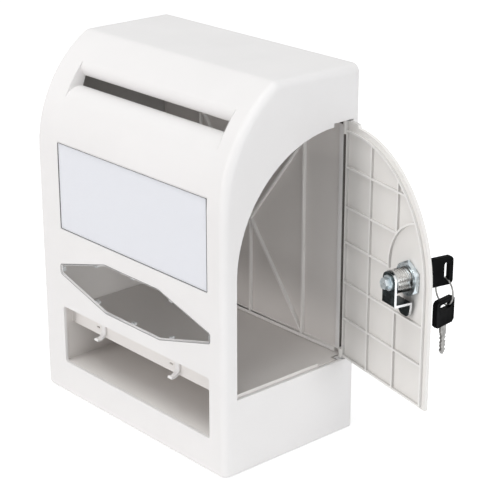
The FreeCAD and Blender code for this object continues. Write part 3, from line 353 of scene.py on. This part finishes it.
# painted highlight: bright metal for the cam's sheared edges and rounds
zinc_painted_highlight = metal("zinc_painted_highlight", (0.74, 0.77, 0.79), (0.9, 0.91, 0.92), tone_scale=400,
                   gloss=(0.25, 0.4), gloss_scale=500, grain_scale=3000, grain_height=0.00001)
key_steel = metal("key_steel", (0.2, 0.196, 0.19), (0.38, 0.372, 0.36), tone_scale=260,
                  gloss=(0.22, 0.38), gloss_scale=350, grain_scale=2600, grain_height=0.000015)
plain_brass = metal("plain_brass", (0.60, 0.44, 0.18), (0.74, 0.57, 0.27), tone_scale=300,
                    gloss=(0.3, 0.45), gloss_scale=400, grain_scale=2600, grain_height=0.00001)

# %% [markdown]
# Key heads are black moulded plastic. Black still shows its shape through its shine, so the tone is far
# down and the shine is held low too; otherwise the pale surround would turn it grey.

# %% Black plastic
black_plastic, black_shader = layered_finish(
    "black_plastic", (0.002, 0.002, 0.0022), (0.005, 0.005, 0.0055), tone_scale=120, gloss=(0.5, 0.65),
    gloss_scale=200, grain_scale=2200, grain_height=0.00002)
black_shader.inputs["Specular IOR Level"].default_value = 0.04
print("finish:", black_plastic.name)

# %% [markdown]
# The solids arrive as loose triangles. A copy is welded, and its flat areas are joined into whole faces,
# before any edge is touched. Real mouldings have no knife edges, so the sharp ones get a narrow round. Flat
# shading would show the facets of every curve; smooth shading with sharp edges kept, weighted by face size,
# hides them.

# %% Helpers for pieces made from the solids
weld = 0.000001
flat_limit = math.radians(0.3)
sharp_limit = math.radians(35)
smooth_limit = math.radians(32)


def merged_copy(name):
    mesh = bmesh.new()
    mesh.from_mesh(solids[name].data)
    bmesh.ops.remove_doubles(mesh, verts=mesh.verts, dist=weld)
    bmesh.ops.dissolve_limit(mesh, angle_limit=flat_limit, verts=mesh.verts, edges=mesh.edges)
    bmesh.ops.recalc_face_normals(mesh, faces=mesh.faces)
    return mesh


def bevel_edges(mesh, edges, width, segments):
    bmesh.ops.bevel(mesh, geom=edges, offset=width, offset_type="OFFSET", segments=segments, profile=0.5,
                    affect="EDGES", clamp_overlap=False, material=-1)
    return len(edges)


def round_edges(mesh, width):
    sharp = [e for e in mesh.edges if len(e.link_faces) == 2 and e.calc_face_angle(0) > sharp_limit]
    bevel_edges(mesh, sharp, width, segments=2)


def make_piece(mesh, name, body, slot, finishes, *stands_for):
    data = bpy.data.meshes.new(name)
    mesh.to_mesh(data)
    mesh.free()
    data.shade_smooth()
    data.set_sharp_from_angle(angle=smooth_limit)
    for finish in finishes:
        data.materials.append(finish)
    piece = bpy.data.objects.new(name, data)
    scene.collection.objects.link(piece)
    weighted = piece.modifiers.new("weighted", "WEIGHTED_NORMAL")
    weighted.keep_sharp = True
    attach(piece, body)
    if stands_for:
        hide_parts(*stands_for)
    print(name, "on", body, "faces:", len(data.polygons))


def soft_copy(name, body, slot, finish, width):
    mesh = merged_copy(name)
    if width:
        round_edges(mesh, width)
    make_piece(mesh, name + "_soft", body, slot, (finish,), name)


print("piece helpers ready")

# %% [markdown]
# The case comes first. On the real box the front, top, sides and base are one moulding, and every opening
# has a slightly rounded rim that catches a thin line of light. Three finishes share this one piece: the
# white outside, dark painted shade where the hinge post turns into the gap beside the leaf and in the notch
# above it, and painted shade that grows with height on the inside wall and roof. The place and the
# direction of a face tell which it gets, so no seam is cut.

# %% Case
case_edge = 0.0004
straight = 0.9
post_side = 0.1152
post_round = 0.0025
post_front = 0.05
turned_to_gap = 0.45
notch_low = Vector((0.1, 0.045, 0.2655))
notch_high = Vector((0.1225, 0.0695, 0.2735))
left_inside = -0.119
wall_room = 0.0002
roof_from = 0.3


# layer 1 is dark painted shade in the hinge's gap and notch, layer 2 the inside with shade painted by
# height
def case_layer(face):
    middle = face.calc_center_median()
    on_round = -post_round < middle.x - post_side < weld and middle.y > post_front
    in_notch = all(low < value < high for low, value, high in zip(notch_low, middle, notch_high))
    if in_notch or (on_round and face.normal.x > turned_to_gap):
        return 1
    on_wall = face.normal.x > straight and abs(middle.x - left_inside) < wall_room
    on_roof = face.normal.z < -straight and middle.z > roof_from
    return 2 if on_wall or on_roof else 0


mesh = merged_copy("case_shell")
for face in mesh.faces:
    face.material_index = case_layer(face)
layers = [face.material_index for face in mesh.faces]
print("dark faces by the hinge:", layers.count(1), "dull faces inside:", layers.count(2))
round_edges(mesh, case_edge)
make_piece(mesh, "case_shell_soft", "case", "white_plastic",
           (white_plastic, gap_painted_shade, inside_painted_shade), "case_shell")

# %% [markdown]
# The back panel closes the case and is stiffened by ribs towards the inside, which get a painted highlight,
# a little brighter than the panel. The largest face that looks to the front is the flat of the panel, and
# all that stands before it belongs to a rib. The insert with the tray and the pen clips are softened in the
# same way as the case.

# %% Back panel, insert and clips
clip_edge = 0.0003
looks_front = 0.99
rib_from = 0.001
rib_turn = 0.5

mesh = merged_copy("back_panel")
fronts = [face for face in mesh.faces if face.normal.y < -looks_front]
panel_front = max(fronts, key=lambda face: face.calc_area()).calc_center_median().y
ribs = [face for face in mesh.faces
        if panel_front - face.calc_center_median().y > rib_from and face.normal.y < rib_turn]
# the rib faces get the painted highlight
for face in ribs:
    face.material_index = 1
print("rib faces on the back panel:", len(ribs))
round_edges(mesh, case_edge)
make_piece(mesh, "back_panel_soft", "case", "white_plastic", (inner_plastic, rib_painted_highlight), "back_panel")
soft_copy("tray_insert", "case", "white_plastic", inner_plastic, case_edge)
for name in ("pen_clip_left", "pen_clip_right"):
    soft_copy(name, "case", "white_plastic", white_plastic, clip_edge)

# %% [markdown]
# The door stands open, so its lock's axis is turned. It is easiest to draw lock pieces along a plain X
# axis, with the face of the flange at zero, and to turn each finished mesh into place with one matrix. The
# inverse of that matrix tells how deep a point of the leaf lies.

# %% The lock's own axes
lock_joint = [j for j in frame["joints"] if j["name"] == "lock_turn"][0]
inward = Vector(lock_joint["axis"]).normalized()
outward = -inward
face_middle = Vector(lock_joint["pos_m"])
side = Vector((0, 0, 1)).cross(outward)
lock_place = Matrix((
    (outward.x, side.x, 0, face_middle.x),
    (outward.y, side.y, 0, face_middle.y),
    (outward.z, side.z, 1, face_middle.z),
    (0, 0, 0, 1)))
lock_home = lock_place.inverted()
leaf_inside = -0.006
print("lock axis points out along", [round(v, 3) for v in outward])

# %% [markdown]
# The door leaf is ribbed inside so that a thin wall stays straight. The tops of the ribs get a painted
# highlight, a little brighter than the flat, and the flanks that look up or to the free edge get painted
# shade, which draws each rib as a fine double line of light and shade. Both come from the depth and the
# direction of a face. At the top, beside the hinge, the leaf has a raised corner, and its far end gets a
# wider round than the other edges.

# %% Door leaf and hinge pins
door_joint = [j for j in frame["joints"] if j["name"] == "door_swing"][0]
hinge = Vector(door_joint["pos_m"])
corner_run = 0.0162
corner_round = 0.0028
leaf_edge = 0.00015
pin_edge = 0.0002
rib_height = 0.0022
rib_top = leaf_inside - rib_height
depth_room = 0.0003
flank_turn = 0.6

mesh = merged_copy("door_panel")
# rib tops get the painted highlight; flanks that look up or to the free edge get painted shade
for face in mesh.faces:
    depth = (lock_home @ face.calc_center_median()).x
    if face.normal.dot(inward) > straight and abs(depth - rib_top) < depth_room:
        face.material_index = 1
    elif rib_top < depth < leaf_inside and max(face.normal.z, -face.normal.dot(side)) > flank_turn:
        face.material_index = 2
leaf_top = max(v.co.z for v in mesh.verts)
corner_edge = [e for e in mesh.edges
               if all(v.co.z > leaf_top - weld and (v.co - hinge).xy.length > corner_run for v in e.verts)]
print("edges of the raised corner rounded:", bevel_edges(mesh, corner_edge, corner_round, segments=4))
round_edges(mesh, leaf_edge)
make_piece(mesh, "door_panel_soft", "door", "white_plastic",
           (door_plastic, rib_painted_highlight, flank_painted_shade), "door_panel")
for name in ("hinge_pin_top", "hinge_pin_bottom"):
    soft_copy(name, "door", "steel", zinc_plate, pin_edge)

# %% [markdown]
# The card keeps its solid, whose crisp cut edges are right, and only gets its finish. The window's copy has
# a thin dark border, inset from its outline: painted shade for the shadow line along the pane's edge. The
# cover lies on the card in the solids; two faces in one place can't both be drawn, so its copy is made a
# little thinner from behind, which leaves the breath of air that a real sheet has under it, and its narrow
# sides are painted dark, painted shade for the line around the card.

# %% Card, cover and window
shade_line_width = 0.0004
thinned = 0.9
edge_turn = 0.5

for material_slot in solids["label_card"].material_slots:
    material_slot.material = card_stock
print("dressed: label_card with", card_stock.name)
mesh = merged_copy("window_pane")
pane_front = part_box("window_pane")[0].y
front_face = [face for face in mesh.faces
              if face.normal.y < -straight and abs(face.calc_center_median().y - pane_front) < weld]
border = bmesh.ops.inset_region(mesh, faces=front_face, thickness=shade_line_width, depth=0,
                                use_even_offset=True)
# the inset border gets the painted shade
for face in border["faces"]:
    face.material_index = 1
make_piece(mesh, "window_pane_soft", "case", "clear_plastic", (clear_pane, edge_painted_shade), "window_pane")
mesh = merged_copy("label_cover")
cover_front = Matrix.Translation((0, -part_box("label_cover")[0].y, 0))
bmesh.ops.scale(mesh, vec=(1, thinned, 1), space=cover_front, verts=mesh.verts)
for face in mesh.faces:
    if abs(face.normal.y) < edge_turn:
        face.material_index = 1
make_piece(mesh, "label_cover_soft", "case", "clear_plastic", (clear_film, edge_painted_shade), "label_cover")

# %% [markdown]
# The small hardware is next: screws, washers, nut, bolt, plug and wafers. Stamped and turned parts have
# narrow broken edges, so their rounds are a quarter of those on the case. Screws and plug keep the edges of
# their solids.

# %% Small hardware
metal_edge = 0.0001
soft_copy("back_panel_screws", "case", "steel", zinc_plate, 0)
soft_copy("tray_screws", "case", "steel", zinc_plate, 0)
soft_copy("lock_tooth_washer", "door", "steel", zinc_plate, metal_edge)
soft_copy("lock_nut", "door", "plated_zinc", zinc_plate, metal_edge)
soft_copy("lock_plug", "plug", "plated_zinc", nickel_plate, 0)
soft_copy("lock_wafers", "plug", "brass", plain_brass, metal_edge)
soft_copy("stop_washer", "plug", "steel", zinc_plate, metal_edge)
soft_copy("cam_washer", "plug", "steel", zinc_plate, metal_edge)
soft_copy("cam_bolt", "plug", "steel", zinc_plate, metal_edge)

# %% [markdown]
# The cam is stamped from plated strip and bent twice. Its broad faces are painted nearly black, a painted
# dark reflection, while the sheared edges get a painted highlight. Faces that look sideways are those
# edges, so the second finish, the painted highlight, goes on them and on the rounds.

# %% Cam
mesh = merged_copy("lock_cam")
round_edges(mesh, metal_edge)
# faces that look sideways get the painted highlight
sheared = [face for face in mesh.faces if max(abs(face.normal.dot(inward)), abs(face.normal.z)) < straight]
for face in sheared:
    face.material_index = 1
print("bright edge faces on the cam:", len(sheared))
make_piece(mesh, "lock_cam_soft", "plug", "steel", (zinc_painted_shade, zinc_painted_highlight), "lock_cam")

# %% [markdown]
# The barrel of the lock is threaded over its whole length, with two flats that stop it turning in the door.
# The solid has the thread's outer size. So an edge loop at the leaf parts the copy's barrel from its
# flange, and the barrel is drawn in to the root of the thread and painted nearly black, painted shade for
# the thread's grooves.

# %% Lock barrel
thread_top = 0.0095
thread_root = 0.0087
barrel_end = -0.0215
wall_start = 0.0075

mesh = merged_copy("lock_housing")
bmesh.ops.transform(mesh, matrix=lock_home, verts=mesh.verts)
everything = list(mesh.verts) + list(mesh.edges) + list(mesh.faces)
bmesh.ops.bisect_plane(mesh, geom=everything, plane_co=(leaf_inside, 0, 0), plane_no=(1, 0, 0), dist=weld)
barrel = [v for v in mesh.verts
          if barrel_end - weld < v.co.x < leaf_inside + weld and math.hypot(v.co.y, v.co.z) > wall_start]
draw_in = thread_root / thread_top
bmesh.ops.scale(mesh, vec=(1, draw_in, draw_in), verts=barrel)
print("barrel points drawn in:", len(barrel))
drawn = set(barrel)
# the drawn-in barrel gets the painted shade
for face in mesh.faces:
    if all(v in drawn for v in face.verts):
        face.material_index = 1
round_edges(mesh, metal_edge)
bmesh.ops.transform(mesh, matrix=lock_place, verts=mesh.verts)
make_piece(mesh, "lock_housing_soft", "door", "plated_zinc", (nickel_plate, zinc_painted_shade), "lock_housing")

# %% [markdown]
# The thread is a ridge with a triangular section, wound on the barrel by spinning with a small step along
# the axis. Its pitch is coarser than on a real lock, so that it still shows in a small picture. Cutting it
# at the flats leaves two combs of arcs, which is what a flat milled on a thread looks like.

# %% Thread
thread_flat = 0.0084
thread_pitch = 0.002
thread_turns = 7
steps_per_turn = 48
foot_share = 0.36
foot = thread_pitch * foot_share
sink = 0.0002

mesh = bmesh.new()
start = barrel_end + thread_pitch / 2
corners = [mesh.verts.new((start - foot, 0, thread_root - sink)),
           mesh.verts.new((start, 0, thread_top)),
           mesh.verts.new((start + foot, 0, thread_root - sink))]
section = [mesh.edges.new((corners[i], corners[i - 1])) for i in range(3)]
bmesh.ops.spin(mesh, geom=corners + section, cent=(0, 0, 0), axis=(1, 0, 0),
               dvec=(thread_pitch / steps_per_turn, 0, 0),
               angle=math.tau * thread_turns, steps=thread_turns * steps_per_turn)
bmesh.ops.holes_fill(mesh, edges=mesh.edges, sides=3)
for way in (1, -1):
    everything = list(mesh.verts) + list(mesh.edges) + list(mesh.faces)
    cut = bmesh.ops.bisect_plane(mesh, geom=everything, plane_co=(0, way * thread_flat, 0),
                                 plane_no=(0, way, 0), dist=weld, clear_outer=True)
    rim = [e for e in cut["geom_cut"] if isinstance(e, bmesh.types.BMEdge)]
    bmesh.ops.holes_fill(mesh, edges=rim, sides=0)
bmesh.ops.recalc_face_normals(mesh, faces=mesh.faces)
bmesh.ops.transform(mesh, matrix=lock_place, verts=mesh.verts)
make_piece(mesh, "lock_thread", "door", "plated_zinc", (key_steel,))

# %% [markdown]
# Each wafer is pushed by a tiny coil spring inside the plug. They don't show, but anyone who takes the lock
# apart should find wound wire there. A spring is one small circle of wire, spun several turns while it
# moves along.

# %% Wafer springs
spring_low, spring_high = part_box("wafer_springs")
wire = 0.000125
wire_sides = 6
coil = 0.000475
coil_turns = 6
coil_steps = 16
coil_height = (spring_high.z - spring_low.z) - 2 * wire
wafer_pitch = 0.002
first_wafer = 0.002
blade_depth = 0.0136
spring_shift = 0.0037
spring_count = 5

mesh = bmesh.new()
for i in range(spring_count):
    middle = Vector((first_wafer - blade_depth + i * wafer_pitch, spring_shift, 0))
    ring = bmesh.ops.create_circle(mesh, segments=wire_sides, radius=wire)["verts"]
    bmesh.ops.rotate(mesh, verts=ring, cent=(0, 0, 0), matrix=Matrix.Rotation(math.pi / 2, 3, "X"))
    bmesh.ops.translate(mesh, verts=ring, vec=middle + Vector((coil, 0, -coil_height / 2)))
    wire_edges = list(dict.fromkeys(e for v in ring for e in v.link_edges))
    bmesh.ops.spin(mesh, geom=ring + wire_edges, cent=middle, axis=(0, 0, 1),
                   dvec=(0, 0, coil_height / (coil_turns * coil_steps)),
                   angle=math.tau * coil_turns, steps=coil_turns * coil_steps)
bmesh.ops.holes_fill(mesh, edges=mesh.edges, sides=wire_sides)
bmesh.ops.recalc_face_normals(mesh, faces=mesh.faces)
bmesh.ops.transform(mesh, matrix=lock_place, verts=mesh.verts)
make_piece(mesh, "wafer_springs_wound", "plug", "steel", (zinc_plate,), "wafer_springs")

# %% [markdown]
# Keys: the blades are plated steel with notches cut along both edges, the heads black plastic moulded round
# the blade's end. A moulded head has a shallow panel on both faces. Inset the flat faces and push the inner
# area in, and the same edge loop gives the border. The spare key hangs a little turned, so its own cross
# direction is turned too.

# %% Keys
panel_border = 0.0014
panel_step = 0.0003
flat_only = 0.999
spare_turn = Matrix.Rotation(math.radians(18), 3, "Z")


def soft_head(name, body, across):
    mesh = merged_copy(name)
    flats = [face for face in mesh.faces if abs(face.normal.dot(across)) > flat_only]
    for way in (1, -1):
        area = [face for face in flats if face.normal.dot(across) * way > 0]
        for width, depth in ((panel_border, 0), (panel_step, -panel_step)):
            bmesh.ops.inset_region(mesh, faces=area, thickness=width, depth=depth, use_even_offset=True)
    make_piece(mesh, name + "_soft", body, "black_plastic", (black_plastic,), name)


soft_head("key_head", "key", side)
soft_head("spare_key_head", "spare", spare_turn @ side)
soft_copy("key_blade", "key", "plated_zinc", key_steel, metal_edge)
soft_copy("spare_key_blade", "spare", "plated_zinc", key_steel, metal_edge)

# %% [markdown]
# A split ring is spring wire wound twice round, so that a key can be threaded on. Spinning a round wire
# section by two full turns, while it moves along by one wire, makes it in one go; the two ends are capped.

# %% Split ring
ring_low, ring_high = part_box("key_ring")
ring_middle = (ring_low + ring_high) / 2
ring_wire = 0.0005
ring_sides = 10
ring_radius = 0.011
ring_turns = 2
ring_steps = 72

mesh = bmesh.new()
section = bmesh.ops.create_circle(mesh, segments=ring_sides, radius=ring_wire)["verts"]
bmesh.ops.rotate(mesh, verts=section, cent=(0, 0, 0), matrix=Matrix.Rotation(math.pi / 2, 3, "Y"))
bmesh.ops.rotate(mesh, verts=section, cent=(0, 0, 0), matrix=Matrix.Rotation(math.pi / 2, 3, "Z"))
bmesh.ops.translate(mesh, verts=section, vec=(-ring_wire, 0, -ring_radius))
wire_edges = list(dict.fromkeys(e for v in section for e in v.link_edges))
bmesh.ops.spin(mesh, geom=section + wire_edges, cent=(0, 0, 0), axis=(1, 0, 0),
               dvec=(2 * ring_wire / (ring_turns * ring_steps), 0, 0),
               angle=math.tau * ring_turns, steps=ring_turns * ring_steps)
bmesh.ops.holes_fill(mesh, edges=mesh.edges, sides=ring_sides)
bmesh.ops.recalc_face_normals(mesh, faces=mesh.faces)
ring_place = Matrix.Translation(ring_middle - face_middle) @ lock_place
bmesh.ops.transform(mesh, matrix=ring_place, verts=mesh.verts)
make_piece(mesh, "key_ring_wound", "ring", "steel", (key_steel,), "key_ring")

# %% [markdown]
# The stage is a pale floor under an even white surround. The camera, mirrors and clear sheets see the floor
# lifted to white, while the light that it sends to the box is a little lower, so that white plastic keeps
# its shading. The floor itself still takes the box's shadow.

# %% Floor
floor_lift = 0.5
floor_reach = 6


def seen_directly(tree):
    rays = add_node(tree, "ShaderNodeLightPath")
    seen = rays.outputs["Is Camera Ray"]
    for ray in ("Is Glossy Ray", "Is Transmission Ray"):
        either = add_node(tree, "ShaderNodeMath", operation="MAXIMUM")
        tree.links.new(seen, either.inputs[0])
        tree.links.new(rays.outputs[ray], either.inputs[1])
        seen = either.outputs["Value"]
    return seen


floor_finish, floor_shader = layered_finish(
    "floor_finish", (0.93, 0.93, 0.93), (0.95, 0.95, 0.95), tone_scale=3, gloss=(0.8, 0.9), gloss_scale=6,
    grain_scale=300, grain_height=0.00002)
floor_shader.inputs["Specular IOR Level"].default_value = 0.1
floor_shader.inputs["Emission Color"].default_value = (1, 1, 1, 1)
tree = floor_finish.node_tree
lift = ranged(tree, seen_directly(tree), 0.0, 1.0, 0.0, floor_lift)
tree.links.new(lift, floor_shader.inputs["Emission Strength"])
mesh = bmesh.new()
bmesh.ops.create_grid(mesh, x_segments=4, y_segments=4, size=floor_reach)
floor_data = bpy.data.meshes.new("floor")
mesh.to_mesh(floor_data)
mesh.free()
floor_data.materials.append(floor_finish)
floor = bpy.data.objects.new("floor", floor_data)
scene.collection.objects.link(floor)
print("floor reaches", floor_reach, "m each way")

# %% [markdown]
# The surround works the same way: what looks at it directly sees plain white, and the light it gives is
# about half of that and a little cool. A brighter surround would flatten every face of a white box.

# %% Surround
soft_strength = 0.47

world = bpy.data.worlds.new("surround")
world.use_nodes = True
scene.world = world
tree = world.node_tree
white_view = tree.nodes["Background"]
white_view.inputs["Color"].default_value = (1, 1, 1, 1)
white_view.inputs["Strength"].default_value = 1.0
soft_light = add_node(tree, "ShaderNodeBackground")
soft_light.inputs["Color"].default_value = (0.98, 0.985, 1, 1)
soft_light.inputs["Strength"].default_value = soft_strength
choice = mixed(tree, seen_directly(tree),
               soft_light.outputs["Background"], white_view.outputs["Background"])
tree.links.new(choice, tree.nodes["World Output"].inputs["Surface"])
print("surround light:", soft_strength)

# %% [markdown]
# Three broad lamps do the modelling. One stands in front and to the left, low enough to reach into the
# tray. The strongest hangs overhead and a little in front, so that the front and the top are bright while
# the roof keeps the inside in shade. A cool one stands low on the right and lifts the side and the leaf of
# the door. All are large, so their shadows stay soft.

# %% Lamps
def soft_lamp(name, place, size, watts, tint):
    lamp_data = bpy.data.lights.new(name, "AREA")
    lamp_data.color = tint
    lamp_data.shape = "DISK"
    lamp_data.size = size
    lamp_data.energy = watts
    lamp = bpy.data.objects.new(name, lamp_data)
    lamp.location = place
    lamp.rotation_mode = "QUATERNION"
    lamp.rotation_quaternion = (aim - Vector(place)).to_track_quat("-Z", "Y")
    scene.collection.objects.link(lamp)
    print("lamp:", name, watts, "W")


soft_lamp("front_lamp", (-0.5, -2.35, 0.8), 0.9, 15.2, (1, 0.98, 0.97))
soft_lamp("top_lamp", (0.1, -0.6, 2.4), 1.4, 24, (0.97, 1, 1))
soft_lamp("side_lamp", (2.6, -0.05, 0.45), 1.2, 20.5, (0.95, 0.98, 1))
